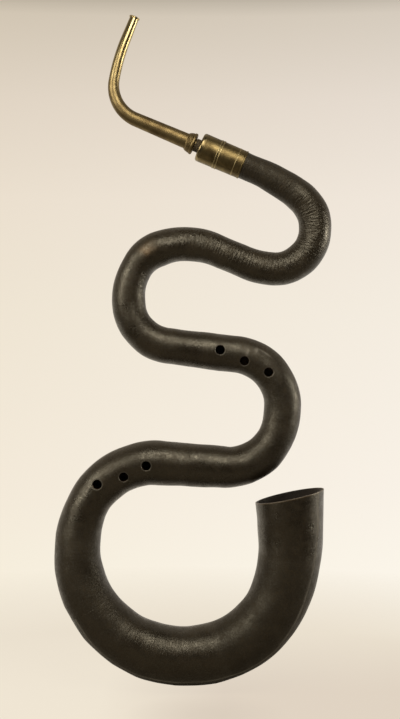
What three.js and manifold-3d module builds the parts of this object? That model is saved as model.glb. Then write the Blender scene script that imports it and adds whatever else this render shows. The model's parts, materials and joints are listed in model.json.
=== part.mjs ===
// A serpent, the bass of the cornett family. Its walnut tube is glued up from hollowed front and
// rear halves, bound with linen at the butt joints and covered with leather. A bent brass crook
// plugs into a brass ferrule at the neck, sealed by thread wound on its tenon.
// Millimetres, degrees, +Z up. The finger holes face -Y. The horn hangs by its second arch, and
// the origin is the place under that arch's crown where it hangs.

import * as THREE from 'three';
import { mergeVertices } from 'three/addons/utils/BufferGeometryUtils.js';
import Module from 'manifold-3d';

const wasm = await Module();
wasm.setup();

// The tube's line, from the ferrule's mouth to the bell, as straight runs and round bends.
// Left turns are positive. Each stretch also gives the leather's outer radius where it ends.
const MOUTH_HEADING = -23;
const MOUTH_RADIUS = 21.8;
const NECK = { run: 97, tube: 21 };
const NECK_EASE = { bend: 285, turn: -15.5, tube: 24.9 };
const TOP_BOW = { bend: 63, turn: -147, tube: 26 };
const TOP_EASE = { bend: 141, turn: -17.5, tube: 24.6 };
const UPPER_RUN = { run: 47, tube: 25.1 };
const ARCH_LEAD = { bend: 119, turn: 44.5, tube: 27.5 };
const LEFT_ARCH_CROWN = { bend: 65, turn: 37, tube: 24.9 };
const LEFT_ARCH_SIDE = { bend: 95, turn: 39.5, tube: 25.7 };
const LEFT_ARCH_FOOT = { bend: 71, turn: 75, tube: 27.7 };
const MIDDLE_RUN = { run: 107, tube: 28.7 };
const RIGHT_BEND_HEAD = { bend: 80, turn: -85, tube: 28.5 };
const RIGHT_BEND_SIDE = { bend: 119, turn: -22, tube: 28.4 };
const RIGHT_BEND_FOOT = { bend: 81, turn: -69.5, tube: 32.2 };
const LOWER_RUN = { run: 102, tube: 34.5 };
const BOW_LEAD = { bend: 116, turn: 69, tube: 32.7 };
const BOW_FALL = { bend: 163, turn: 94, tube: 44.4 };
const BOW_FLOOR = { bend: 175, turn: 44.5, tube: 46.4 };
const BOW_RISE = { bend: 145, turn: 45, tube: 47.1 };
const BELL_EASE = { bend: 239, turn: 22.5, tube: 50.1 };
const BELL_RUN = { run: 61, tube: 53.4 };
const BELL_SLANT = 10.5;

// Walls of the body.
const LEATHER = 1.6;
const LINEN = 0.9;
const LINEN_WIDTH = 38;
const NECK_WALL = 9;
const BELL_WALL = 2.6;

// Finger holes: their share of the way along a stretch, and of the tube's radius to the right.
const HOLE_DIAMETER = 14.2;
const FINGER_HOLES = [
  { stretch: MIDDLE_RUN, alongShare: 0.741, sideShare: -0.126 },
  { stretch: RIGHT_BEND_HEAD, alongShare: 0.106, sideShare: 0.267 },
  { stretch: RIGHT_BEND_HEAD, alongShare: 0.475, sideShare: 0.096 },
  { stretch: BOW_LEAD, alongShare: 0.139, sideShare: -0.042 },
  { stretch: BOW_LEAD, alongShare: 0.425, sideShare: -0.257 },
  { stretch: BOW_LEAD, alongShare: 0.711, sideShare: 0.172 },
];

// Ferrule and socket.
const FERRULE_LENGTH = 73.5;
const FERRULE_MOUTH_RADIUS = 22.6;
const FERRULE_END_RADIUS = 21.9;
const FERRULE_WALL = 1.2;
const MOUTH_PLATE_DEPTH = 5.5;
const MOUTH_ROUNDING = 3.6;
const BEAD_HEIGHT = 0.9;
const BEAD_WIDTH = 2.6;
const BEAD_SPACING = 4;
const BEAD_STATION = 32;
const LINE_TO_END = 12.5;
const LINE_HEIGHT = 0.4;
const LINE_WIDTH = 1.4;
const END_RING_WIDTH = 2.8;
const END_RING_HEIGHT = 0.6;
const SOCKET_RADIUS = 11.5;
const SOCKET_WALL = 1;
const SOCKET_DEPTH = 50;

// Crook: its line from the ferrule's mouth to the tip, with the tube's outer radius at each end.
const CROOK_ROOT_RADIUS = 12.4;
const CROOK_STEM = { run: 108, tube: 10.8 };
const CROOK_BEND = { bend: 56, turn: -77, tube: 8.4 };
const CROOK_EASE = { bend: 309, turn: -12, tube: 8 };
const CROOK_TIP = { run: 38, tube: 7 };
const CROOK_WALL = 0.8;
const TIP_RING_WIDTH = 2.4;
const TIP_RING_HEIGHT = 1.2;
const TIP_RING_FLANK = 0.3;
const TENON_LENGTH = 34;
const TENON_RADIUS = 9.1;
const TENON_WALL = 0.7;
const COLLAR_GAP = 8.5;
const COLLAR_WIDTH = 13.5;
const COLLAR_RADIUS = 17;
const COLLAR_LIP = 6;
const COLLAR_ROUNDING = 2;
const COLLAR_FACE_SHARE = 0.75;
const COLLAR_SHOULDER_SHARE = 0.45;
const COLLAR_STEP_SHARE = 0.3;
const COLLAR_COVE_SHARES = { along: 0.65, out: 0.35 };
const THREAD = 1.6;
const THREAD_PITCH = 2.8;
const THREAD_LOOPS = 10;

// Fits.
const CLEARANCE = 0.3;
const OVERRUN = 20;

// Facets. A bend has a ring of points at least every STEP_TURN degrees.
const STEP_TURN = 18;
const BODY_SIDES = 16;
const FERRULE_SIDES = 20;
const CROOK_SIDES = 14;
const HOLE_SIDES = 14;
const ROUNDING_STEPS = 4;
const LOOP_STEPS = 24;
const LOOP_SIDES = 6;

const radians = THREE.MathUtils.degToRad;
const mix = THREE.MathUtils.lerp;

// A flat line of straight runs and round bends in the XZ plane.
class BentLine extends THREE.Curve {
  constructor(heading, startTube, stretches) {
    super();
    this.arcs = [];
    let at = new THREE.Vector2();
    let angle = radians(heading);
    let station = 0;
    let tube = startTube;
    for (const stretch of stretches) {
      const turn = radians(stretch.turn ?? 0);
      const run = stretch.run ?? stretch.bend * Math.abs(turn);
      const arc = { stretch, at, angle, turn, run, station, tubes: [tube, stretch.tube] };
      this.arcs.push(arc);
      at = this.along(arc, run).at;
      angle += turn;
      station += run;
      tube = stretch.tube;
    }
    this.span = station;
  }

  // The place a given way along one arc: a chord of the arc, at half the angle swept.
  along(arc, way) {
    const half = arc.turn * way / arc.run / 2;
    const chord = half === 0 ? way : way * Math.sin(half) / half;
    const aim = arc.angle + half;
    const at = new THREE.Vector2(Math.cos(aim), Math.sin(aim)).multiplyScalar(chord).add(arc.at);
    return { at, angle: arc.angle + 2 * half };
  }

  arcAt(station) {
    return this.arcs.findLast((arc) => arc.station <= station) ?? this.arcs[0];
  }

  // The point at a station, the way ahead, and the way to the right of travel.
  placeAt(station) {
    const arc = this.arcAt(station);
    const { at, angle } = this.along(arc, station - arc.station);
    return {
      point: new THREE.Vector3(at.x, 0, at.y),
      ahead: new THREE.Vector3(Math.cos(angle), 0, Math.sin(angle)),
      right: new THREE.Vector3(Math.sin(angle), 0, -Math.cos(angle)),
    };
  }

  getPoint(share) {
    return this.placeAt(share * this.span).point;
  }

  tubeAt(station) {
    const arc = this.arcAt(station);
    return mix(...arc.tubes, THREE.MathUtils.clamp((station - arc.station) / arc.run, 0, 1));
  }

  // The station a share of the way along a stretch.
  stationOn(stretch, share) {
    const arc = this.arcs.find((each) => each.stretch === stretch);
    return arc.station + arc.run * share;
  }

  // Stations at the ends of all stretches, and often enough between them to follow the bends.
  steps() {
    return this.arcs.flatMap(({ station, run, turn }) => {
      const count = Math.max(1, Math.ceil(Math.abs(turn) / radians(STEP_TURN)));
      return Array.from({ length: count }, (_, k) => station + run * k / count);
    });
  }
}

const bodyLine = new BentLine(MOUTH_HEADING, MOUTH_RADIUS, [
  NECK, NECK_EASE, TOP_BOW, TOP_EASE, UPPER_RUN, ARCH_LEAD, LEFT_ARCH_CROWN, LEFT_ARCH_SIDE, LEFT_ARCH_FOOT,
  MIDDLE_RUN, RIGHT_BEND_HEAD, RIGHT_BEND_SIDE, RIGHT_BEND_FOOT, LOWER_RUN, BOW_LEAD,
  BOW_FALL, BOW_FLOOR, BOW_RISE, BELL_EASE, BELL_RUN,
]);
const crookLine = new BentLine(MOUTH_HEADING + 180, CROOK_ROOT_RADIUS, [
  CROOK_STEM, CROOK_BEND, CROOK_EASE, CROOK_TIP,
]);

// Where the blocks of wood meet, and where the lengths of leather meet.
const WOOD_JOINTS = [TOP_BOW, LEFT_ARCH_FOOT, RIGHT_BEND_FOOT, BOW_LEAD, BOW_FLOOR]
  .map((stretch) => bodyLine.stationOn(stretch, 1));
const LEATHER_JOINTS = [
  bodyLine.stationOn(UPPER_RUN, 0.5),
  bodyLine.stationOn(MIDDLE_RUN, 0.42),
  bodyLine.stationOn(LOWER_RUN, 0.55),
  bodyLine.stationOn(BOW_FALL, 0.6),
  bodyLine.stationOn(BOW_RISE, 0.5),
];
const BAND_EDGES = WOOD_JOINTS.flatMap((joint) => [joint - LINEN_WIDTH / 2, joint + LINEN_WIDTH / 2]);
const LEATHER_START = FERRULE_LENGTH + CLEARANCE;
const SOCKET_END = SOCKET_DEPTH + CLEARANCE;

// Every layer has its rings of points at the same stations, so that its facets nest in the next.
const fixedStations = [...WOOD_JOINTS, ...LEATHER_JOINTS, ...BAND_EDGES, LEATHER_START, SOCKET_END];
const nearFixed = (station) => fixedStations.some((fixed) => Math.abs(fixed - station) < LINEN_WIDTH / 5);
const BODY_STATIONS = [...bodyLine.steps().filter((station) => !nearFixed(station)), ...fixedStations]
  .sort((a, b) => a - b);

// The given ends, with the stations that lie between them.
function stationsBetween(start, end, stations) {
  return [start, ...stations.filter((station) => station > start + CLEARANCE && station < end - CLEARANCE), end];
}

// A ring or tube turned about Y. Its outside runs up and its inside back down, as [station, radius].
function turned(outside, inside, sides) {
  const outline = [...outside, ...inside.toReversed(), outside[0]];
  return new THREE.LatheGeometry(outline.map(([station, radius]) => new THREE.Vector2(radius, station)), sides);
}

// Bends a turned piece along a line: Y becomes the station, X points right of travel, Z to the front.
// Past slantFrom, its cross-sections lean steadily more, up to the given slope at the end of the line.
function bentAlong(geometry, line, slantFrom = 0, slope = 0) {
  const spots = geometry.getAttribute('position');
  for (let k = 0; k < spots.count; k += 1) {
    const [x, y, z] = [spots.getX(k), spots.getY(k), spots.getZ(k)];
    const lean = slope * Math.max(0, y - slantFrom) / (line.span - slantFrom);
    const { point, right } = line.placeAt(y + lean * x);
    spots.setXYZ(k, point.x + right.x * x, -z, point.z + right.z * x);
  }
  return geometry;
}

const BELL_SLOPE = Math.tan(radians(BELL_SLANT));
const alongBody = (geometry) => bentAlong(geometry, bodyLine, bodyLine.stationOn(BELL_RUN, 0), BELL_SLOPE);
const alongCrook = (geometry) => bentAlong(geometry, crookLine);

function solidOf(geometry) {
  const bare = geometry.clone();
  bare.deleteAttribute('normal');
  bare.deleteAttribute('uv');
  const merged = mergeVertices(bare);
  return new wasm.Manifold(new wasm.Mesh({
    numProp: 3,
    vertProperties: merged.getAttribute('position').array,
    triVerts: new Uint32Array(merged.index.array),
  }));
}

function geometryOf(solid) {
  const mesh = solid.getMesh();
  const geometry = new THREE.BufferGeometry();
  geometry.setAttribute('position', new THREE.BufferAttribute(mesh.vertProperties, mesh.numProp));
  geometry.setIndex(new THREE.BufferAttribute(mesh.triVerts, 1));
  geometry.computeVertexNormals();
  return geometry;
}

// Radii of the body's layers at a station.
const bodyShare = (station) => station / bodyLine.span;
const leatherOuter = (station) => bodyLine.tubeAt(station);
const leatherInner = (station) => leatherOuter(station) - LEATHER;
const woodOuter = (station) => leatherInner(station) - CLEARANCE;
const woodInner = (station) => woodOuter(station) - mix(NECK_WALL, BELL_WALL, bodyShare(station));
const ferruleOuter = (station) => mix(FERRULE_MOUTH_RADIUS, FERRULE_END_RADIUS, station / FERRULE_LENGTH);
const ferruleInner = (station) => ferruleOuter(station) - FERRULE_WALL;
const neckOuter = (station) => ferruleInner(station) - CLEARANCE;

const pairs = (stations, radiusAt) => stations.map((station) => [station, radiusAt(station)]);

// Drills for the finger holes, each a cylinder along Y from in front of the horn into the bore.
const holeDrills = FINGER_HOLES.map(({ stretch, alongShare, sideShare }) => {
  const station = bodyLine.stationOn(stretch, alongShare);
  const { point, right } = bodyLine.placeAt(station);
  const tube = leatherOuter(station);
  const drill = new THREE.CylinderGeometry(HOLE_DIAMETER / 2, HOLE_DIAMETER / 2, tube + OVERRUN, HOLE_SIDES);
  const centre = point.clone().addScaledVector(right, sideShare * tube);
  drill.translate(centre.x, -(tube + OVERRUN) / 2, centre.z);
  return { station, solid: solidOf(drill) };
});

function drilled(solid, start, end) {
  return holeDrills
    .filter(({ station }) => station > start && station < end)
    .reduce((rest, drill) => rest.subtract(drill.solid), solid);
}

// One block of wood before it is split: rebated for the linen at its joints, and turned down and
// counterbored at the neck, where the ferrule and the socket tube go.
function woodBlock(start, end) {
  const isNeck = start === 0;
  const rebate = LINEN + CLEARANCE;
  const outside = [];
  const step = (station, before, after) => outside.push([station, before(station)], [station, after(station)]);
  const bound = (station) => woodOuter(station) - rebate;
  const stations = stationsBetween(isNeck ? MOUTH_PLATE_DEPTH + CLEARANCE : start, end, BODY_STATIONS);
  const covered = (station) => BAND_EDGES.some((edge, k) => k % 2 === 0
    && station > edge && station < BAND_EDGES[k + 1]);
  for (const station of stations) {
    if (isNeck && station === LEATHER_START) step(station, neckOuter, woodOuter);
    else if (isNeck && station < LEATHER_START) outside.push([station, neckOuter(station)]);
    else if (BAND_EDGES.includes(station)) {
      const opens = BAND_EDGES.indexOf(station) % 2 === 0;
      if (opens) step(station, woodOuter, bound);
      else step(station, bound, woodOuter);
    } else outside.push([station, covered(station) ? bound(station) : woodOuter(station)]);
  }
  const inside = [];
  const counterbore = () => SOCKET_RADIUS + SOCKET_WALL + CLEARANCE;
  for (const station of stations) {
    if (station === SOCKET_END) inside.push([station, counterbore()], [station, woodInner(station)]);
    else inside.push([station, station < SOCKET_END ? counterbore() : woodInner(station)]);
  }
  return drilled(solidOf(alongBody(turned(outside, inside, BODY_SIDES))), start, end);
}

// The front or rear half of a block, cut on the glue line in the plane of the bends.
function woodHalf(start, end, side) {
  const reach = bodyLine.span;
  const depth = BELL_RUN.tube + OVERRUN;
  const saw = new THREE.BoxGeometry(2 * reach, depth, 2 * reach);
  saw.translate(0, side * (depth / 2 + CLEARANCE / 2), 0);
  return geometryOf(woodBlock(start, end).intersect(solidOf(saw)));
}

function linenBand(joint) {
  const start = joint - LINEN_WIDTH / 2 + CLEARANCE;
  const end = joint + LINEN_WIDTH / 2 - CLEARANCE;
  const stations = stationsBetween(start, end, BODY_STATIONS);
  return alongBody(turned(pairs(stations, woodOuter), pairs(stations, (at) => woodOuter(at) - LINEN), BODY_SIDES));
}

// A length of the leather cover.
function leatherLength(start, end) {
  const stations = stationsBetween(start, end, BODY_STATIONS);
  const cover = alongBody(turned(pairs(stations, leatherOuter), pairs(stations, leatherInner), BODY_SIDES));
  return geometryOf(drilled(solidOf(cover), start, end));
}

// A quarter round from one [station, radius] to another, bulging away from the axis and the end.
function rounding(from, to, steps) {
  return Array.from({ length: steps + 1 }, (_, k) => {
    const angle = Math.PI / 2 * k / steps;
    return [to[0] - (to[0] - from[0]) * Math.cos(angle), from[1] + (to[1] - from[1]) * Math.sin(angle)];
  });
}

// Half-round beads standing on a turned surface.
function bead(middle, width, height, baseAt) {
  return Array.from({ length: ROUNDING_STEPS + 1 }, (_, k) => {
    const angle = Math.PI * k / ROUNDING_STEPS;
    const station = middle - width / 2 * Math.cos(angle);
    return [station, baseAt(station) + height * Math.sin(angle)];
  });
}

const SLEEVE_START = MOUTH_PLATE_DEPTH + CLEARANCE;
const SLEEVE_END = FERRULE_LENGTH - END_RING_WIDTH - CLEARANCE;

function mouthPlate() {
  const face = FERRULE_MOUTH_RADIUS - MOUTH_ROUNDING;
  const edge = rounding([0, face], [MOUTH_ROUNDING, ferruleOuter(MOUTH_ROUNDING)], ROUNDING_STEPS);
  const hole = SOCKET_RADIUS + SOCKET_WALL + CLEARANCE;
  const outside = [...edge, [MOUTH_PLATE_DEPTH, ferruleOuter(MOUTH_PLATE_DEPTH)]];
  return alongBody(turned(outside, [[0, hole], [MOUTH_PLATE_DEPTH, hole]], FERRULE_SIDES));
}

function ferruleSleeve() {
  const outside = [
    [SLEEVE_START, ferruleOuter(SLEEVE_START)],
    ...bead(FERRULE_LENGTH - LINE_TO_END, LINE_WIDTH, LINE_HEIGHT, ferruleOuter),
    [SLEEVE_END, ferruleOuter(SLEEVE_END)],
  ];
  return alongBody(turned(outside, pairs([SLEEVE_START, SLEEVE_END], ferruleInner), FERRULE_SIDES));
}

function beadRing() {
  const seat = (station) => ferruleOuter(station) + CLEARANCE;
  const land = (station) => seat(station) + BEAD_HEIGHT / 2;
  const [first, second] = [BEAD_STATION - BEAD_SPACING / 2, BEAD_STATION + BEAD_SPACING / 2];
  const outside = [first, second].flatMap((middle) => bead(middle, BEAD_WIDTH, BEAD_HEIGHT / 2, land));
  const ends = [outside[0][0], outside.at(-1)[0]];
  return alongBody(turned(outside, pairs(ends, seat), FERRULE_SIDES));
}

function endRing() {
  const start = SLEEVE_END + CLEARANCE;
  const outside = bead((start + FERRULE_LENGTH) / 2, END_RING_WIDTH, END_RING_HEIGHT, ferruleOuter);
  return alongBody(turned(outside, pairs([start, FERRULE_LENGTH], ferruleInner), FERRULE_SIDES));
}

function socketTube() {
  const ends = [0, SOCKET_DEPTH];
  return alongBody(turned(
    pairs(ends, () => SOCKET_RADIUS + SOCKET_WALL), pairs(ends, () => SOCKET_RADIUS), FERRULE_SIDES));
}

// The crook's tube runs on through the collar to the collar's face, where the tenon starts.
const COLLAR_END = COLLAR_GAP + COLLAR_WIDTH;
const crookOuter = (station) => crookLine.tubeAt(station);
const crookInner = (station) => crookOuter(station) - CROOK_WALL;

function crookTube() {
  const stations = stationsBetween(COLLAR_GAP, crookLine.span, crookLine.steps());
  return alongCrook(turned(pairs(stations, crookOuter), pairs(stations, crookInner), CROOK_SIDES));
}

function tipRing() {
  const end = crookLine.span;
  const seat = (station) => crookOuter(station) + CLEARANCE;
  const land = (station) => seat(station) + TIP_RING_FLANK;
  const outside = bead(end - TIP_RING_WIDTH / 2, TIP_RING_WIDTH, TIP_RING_HEIGHT - TIP_RING_FLANK, land);
  return alongCrook(turned(outside, pairs([end - TIP_RING_WIDTH, end], seat), CROOK_SIDES));
}

// The collar's back is stepped and hollowed down from its lip to the tube.
function crookCollar() {
  const seat = (station) => crookOuter(station) + CLEARANCE;
  const foot = seat(COLLAR_END) + CROOK_WALL;
  const shoulder = mix(foot, COLLAR_RADIUS, COLLAR_SHOULDER_SHARE);
  const face = mix(foot, COLLAR_RADIUS, COLLAR_FACE_SHARE);
  const lipEnd = COLLAR_GAP + COLLAR_LIP;
  const outside = [
    ...rounding([COLLAR_GAP, face], [COLLAR_GAP + COLLAR_ROUNDING, COLLAR_RADIUS], ROUNDING_STEPS / 2),
    [lipEnd, COLLAR_RADIUS],
    [lipEnd, shoulder],
    [mix(lipEnd, COLLAR_END, COLLAR_STEP_SHARE), shoulder],
    [mix(lipEnd, COLLAR_END, COLLAR_COVE_SHARES.along), mix(foot, shoulder, COLLAR_COVE_SHARES.out)],
    [COLLAR_END, foot],
  ];
  return alongCrook(turned(outside, pairs([COLLAR_GAP, COLLAR_END], seat), FERRULE_SIDES));
}

// The tenon's upper end is soldered into the crook's tube, as far as the collar reaches.
function crookTenon() {
  const grip = (station) => crookInner(station) - CLEARANCE;
  const outside = [
    [-TENON_LENGTH, TENON_RADIUS], [COLLAR_GAP, TENON_RADIUS], ...pairs([COLLAR_GAP, COLLAR_END], grip),
  ];
  const inside = pairs([-TENON_LENGTH, COLLAR_END], () => TENON_RADIUS - TENON_WALL);
  return alongCrook(turned(outside, inside, CROOK_SIDES));
}

// The lapping is one unbroken tube of thread, in a helix round the tenon from near the collar down.
const THREAD_LAY = TENON_RADIUS + CLEARANCE + THREAD / 2;
const THREAD_START = COLLAR_GAP - THREAD_PITCH * (THREAD_LOOPS + 0.5);

function threadCentre(turns) {
  const angle = 2 * Math.PI * turns;
  return new THREE.Vector3(
    THREAD_LAY * Math.cos(angle), THREAD_START + THREAD_PITCH * turns, THREAD_LAY * Math.sin(angle));
}

function tenonLapping() {
  const rings = THREAD_LOOPS * LOOP_STEPS;
  const spots = [];
  const faces = [];
  for (let ring = 0; ring <= rings; ring += 1) {
    const centre = threadCentre(ring / LOOP_STEPS);
    const outward = new THREE.Vector3(centre.x, 0, centre.z).normalize();
    for (let side = 0; side < LOOP_SIDES; side += 1) {
      const angle = 2 * Math.PI * side / LOOP_SIDES;
      const spot = centre.clone().addScaledVector(outward, THREAD / 2 * Math.cos(angle));
      spot.y += THREAD / 2 * Math.sin(angle);
      spots.push(...spot.toArray());
      if (ring === rings) continue;
      const [a, b] = [ring * LOOP_SIDES + side, ring * LOOP_SIDES + (side + 1) % LOOP_SIDES];
      faces.push(a, b, b + LOOP_SIDES, a, b + LOOP_SIDES, a + LOOP_SIDES);
    }
  }
  for (let side = 1; side < LOOP_SIDES - 1; side += 1) {
    faces.push(0, side + 1, side);
    const last = rings * LOOP_SIDES;
    faces.push(last, last + side, last + side + 1);
  }
  const geometry = new THREE.BufferGeometry();
  geometry.setAttribute('position', new THREE.Float32BufferAttribute(spots, 3));
  geometry.setIndex(faces);
  return alongCrook(geometry);
}

// The least gap between the thread's neighbouring turns, measured on points of its centre line.
function threadGap() {
  const centres = Array.from({ length: THREAD_LOOPS * LOOP_STEPS + 1 }, (_, k) => threadCentre(k / LOOP_STEPS));
  let least = Infinity;
  for (let a = 0; a < centres.length; a += 1) {
    for (let b = a + LOOP_STEPS / 2; b < centres.length; b += 1) {
      least = Math.min(least, centres[a].distanceTo(centres[b]));
    }
  }
  return least - THREAD;
}

console.log(`tenon lapping: least gap to itself ${threadGap().toFixed(2)} mm`);

// Materials.
const leather = new THREE.MeshStandardMaterial({ color: 0x2b241b, roughness: 0.45, metalness: 0 });
const walnut = new THREE.MeshStandardMaterial({ color: 0x5a3d24, roughness: 0.6, metalness: 0 });
const linen = new THREE.MeshStandardMaterial({ color: 0xb5a37e, roughness: 0.9, metalness: 0 });
const brass = new THREE.MeshStandardMaterial({ color: 0x9a7f42, roughness: 0.35, metalness: 1 });
const thread = new THREE.MeshStandardMaterial({ color: 0x5b4a33, roughness: 0.9, metalness: 0 });

function named(name, geometry, material) {
  const mesh = new THREE.Mesh(geometry, material);
  mesh.name = name;
  return mesh;
}

const crook = new THREE.Group();
crook.add(
  named('crook_tube', crookTube(), brass),
  named('crook_tip_ring', tipRing(), brass),
  named('crook_collar', crookCollar(), brass),
  named('crook_tenon', crookTenon(), brass),
  named('tenon_lapping', tenonLapping(), thread),
);

const ferrule = new THREE.Group();
ferrule.add(
  named('ferrule_mouth_plate', mouthPlate(), brass),
  named('ferrule_sleeve', ferruleSleeve(), brass),
  named('ferrule_bead_ring', beadRing(), brass),
  named('ferrule_end_ring', endRing(), brass),
  named('socket_tube', socketTube(), brass),
);

// Neighbouring lengths of wood or leather stop half a clearance short of the joint between them.
function lengths(start, joints, end) {
  const cuts = [start, ...joints, end];
  return cuts.slice(1).map((cut, k) => [
    cuts[k] + (k > 0 ? CLEARANCE / 2 : 0),
    cut - (cut < end ? CLEARANCE / 2 : 0),
  ]);
}

const body = new THREE.Group();
lengths(0, WOOD_JOINTS, bodyLine.span).forEach(([start, end], k) => {
  body.add(
    named(`wood_front_${k + 1}`, woodHalf(start, end, -1), walnut),
    named(`wood_rear_${k + 1}`, woodHalf(start, end, 1), walnut),
  );
});
WOOD_JOINTS.forEach((joint, k) => body.add(named(`joint_band_${k + 1}`, linenBand(joint), linen)));
lengths(LEATHER_START, LEATHER_JOINTS, bodyLine.span).forEach(([start, end], k) => {
  body.add(named(`leather_${k + 1}`, leatherLength(start, end), leather));
});

// The crown of the second arch is where its bend runs level, to the left. The horn hangs from under it.
const turnToLevel = (arc) => THREE.MathUtils.euclideanModulo(Math.PI - arc.angle, 2 * Math.PI);
const crownArc = bodyLine.arcs.find((arc) => arc.turn > 0 && turnToLevel(arc) <= arc.turn);
const crownStation = crownArc.station + crownArc.run * turnToLevel(crownArc) / crownArc.turn;
const hangingPlace = bodyLine.placeAt(crownStation).point;
hangingPlace.z -= leatherOuter(crownStation);

const serpent = new THREE.Group();
serpent.add(crook, ferrule, body);
serpent.position.copy(hangingPlace).negate();

export default serpent;
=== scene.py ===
"""A serpent: a bass horn of walnut under leather, with a brass ferrule and a bent brass crook.

Metres, +Z up, finger holes towards -Y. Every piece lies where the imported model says, and its
place is in its mesh.
"""
import json
import math

import bpy
import numpy as np
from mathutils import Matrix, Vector


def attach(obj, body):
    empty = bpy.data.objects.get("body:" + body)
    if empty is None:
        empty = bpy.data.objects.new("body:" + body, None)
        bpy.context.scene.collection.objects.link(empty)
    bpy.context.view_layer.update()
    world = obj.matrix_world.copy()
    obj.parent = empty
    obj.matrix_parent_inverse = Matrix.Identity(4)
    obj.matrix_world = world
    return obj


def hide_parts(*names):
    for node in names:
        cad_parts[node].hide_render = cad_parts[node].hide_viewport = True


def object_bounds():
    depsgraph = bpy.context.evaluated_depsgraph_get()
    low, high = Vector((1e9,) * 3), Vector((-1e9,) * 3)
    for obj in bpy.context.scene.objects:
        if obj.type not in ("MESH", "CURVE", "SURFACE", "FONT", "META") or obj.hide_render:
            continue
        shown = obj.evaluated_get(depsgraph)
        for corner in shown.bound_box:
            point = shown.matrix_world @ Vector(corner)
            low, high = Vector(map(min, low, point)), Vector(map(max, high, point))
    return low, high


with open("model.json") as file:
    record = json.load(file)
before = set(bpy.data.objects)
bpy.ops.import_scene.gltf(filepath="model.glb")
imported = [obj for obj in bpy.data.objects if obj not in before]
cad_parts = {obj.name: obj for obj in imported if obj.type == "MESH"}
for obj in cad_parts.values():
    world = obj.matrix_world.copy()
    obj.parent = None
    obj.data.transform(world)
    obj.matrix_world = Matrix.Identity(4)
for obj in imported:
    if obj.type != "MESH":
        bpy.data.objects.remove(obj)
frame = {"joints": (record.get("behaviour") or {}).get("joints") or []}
cad_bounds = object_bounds()

# Camera. It stands level with the middle of the horn and about two metres in front of it, a
# little to the right of the hook, with a lens that takes in the whole instrument.
PHOTO_HEIGHT = 719
PIXEL_ON_HORN = 0.00155
EYE = Vector((0.02163, -1.96, -0.15267))
SENSOR = 36.0
picture_height = PHOTO_HEIGHT * PIXEL_ON_HORN
camera = bpy.data.objects.new("camera", bpy.data.cameras.new("camera"))
bpy.context.scene.collection.objects.link(camera)
camera.location = EYE
camera.rotation_euler = (math.radians(90), 0, 0)
camera.data.sensor_width = SENSOR
camera.data.lens = SENSOR * abs(EYE.y) / picture_height
bpy.context.scene.camera = camera
bpy.context.scene.view_settings.view_transform = "Standard"

# Surroundings. A photographer's sweep of warm cream paper stands behind the horn, a little whiter
# to the right, with painted shade that darkens it toward the top. Metal sees the paper behind it
# and a dim room in front.
# The paper's colours, from high in the sweep down to its foot; their darkening high up is
# painted shade.
PAPER_WITH_PAINTED_SHADE = [
    (0.225, (0.48, 0.42, 0.33)),
    (0.238, (0.64, 0.56, 0.45)),
    (0.30, (0.75, 0.66, 0.55)),
    (0.375, (0.83, 0.74, 0.62)),
    (0.46, (0.86, 0.78, 0.65)),
    (0.60, (0.90, 0.82, 0.695)),
    (0.66, (0.92, 0.85, 0.715)),
]
PAPER_HEIGHTS = (0.5, -0.5)
PAPER_RIGHT = (1.05, 1.075, 1.14)
PAPER_SIDES = (-0.16, 0.16)
ROOM_LIGHT = (1.0, 0.95, 0.88)
ROOM_STRENGTH = 0.30
ROOM_GLOSS = (0.055, 0.050, 0.040)
ROOM_TO_PAPER = (-0.15, 0.35)


def node(tree, kind, inputs=None, **settings):
    """Adds a shader node, sets its options, and wires or fills its inputs."""
    made = tree.nodes.new("ShaderNode" + kind)
    for name, value in settings.items():
        setattr(made, name, value)
    for name, value in (inputs or {}).items():
        if isinstance(value, bpy.types.NodeSocket):
            tree.links.new(value, made.inputs[name])
        else:
            made.inputs[name].default_value = value
    return made


def ramp(tree, value, stops):
    """A colour ramp over (place, colour) stops, driven by a socket. Returns its colour socket."""
    made = node(tree, "ValToRGB", {"Fac": value})
    band = made.color_ramp.elements
    while len(band) < len(stops):
        band.new(0.5)
    for element, (place, colour) in zip(band, stops):
        element.position = place
        element.color = (*colour, 1)
    return made.outputs["Color"]


def stretched(tree, value, low, high, to_low=0.0, to_high=1.0):
    """A socket's values from low to high, stretched over to_low to to_high and held beyond."""
    sizes = {
        "Value": value, "From Min": low, "From Max": high, "To Min": to_low, "To Max": to_high}
    return node(tree, "MapRange", sizes).outputs["Result"]


def sums(tree, operation, a, b=0.0):
    """The result of an operation, such as MULTIPLY, on two sockets or numbers."""
    return node(tree, "Math", {0: a, 1: b}, operation=operation).outputs[0]


def blended(tree, factor, first, second):
    """The first colour where the factor is 0, the second where it is 1."""
    made = node(tree, "Mix", {"Factor": factor}, data_type="RGBA")
    for place, colour in ((6, first), (7, second)):
        if isinstance(colour, bpy.types.NodeSocket):
            tree.links.new(colour, made.inputs[place])
        else:
            made.inputs[place].default_value = (*colour, 1)
    return made.outputs[2]


world = bpy.data.worlds.new("studio")
bpy.context.scene.world = world
world.use_nodes = True
tree = world.node_tree
tree.nodes.clear()
direction = node(tree, "TexCoord").outputs["Generated"]
aim = node(tree, "SeparateXYZ", {"Vector": direction})
sweep = ramp(tree, stretched(tree, aim.outputs["Z"], *PAPER_HEIGHTS), PAPER_WITH_PAINTED_SHADE)
whiter = blended(tree, stretched(tree, aim.outputs["X"], *PAPER_SIDES), (1, 1, 1), PAPER_RIGHT)
paper = node(tree, "VectorMath", {0: sweep, 1: whiter}, operation="MULTIPLY").outputs[0]
toward_paper = stretched(tree, aim.outputs["Y"], *ROOM_TO_PAPER)
room_or_paper = blended(tree, toward_paper, ROOM_GLOSS, paper)
rays = node(tree, "LightPath").outputs
glossy = sums(tree, "MAXIMUM", rays["Is Glossy Ray"], rays["Is Transmission Ray"])
seen = sums(tree, "MAXIMUM", rays["Is Camera Ray"], glossy)
shown = blended(tree, rays["Is Camera Ray"], room_or_paper, paper)
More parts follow.
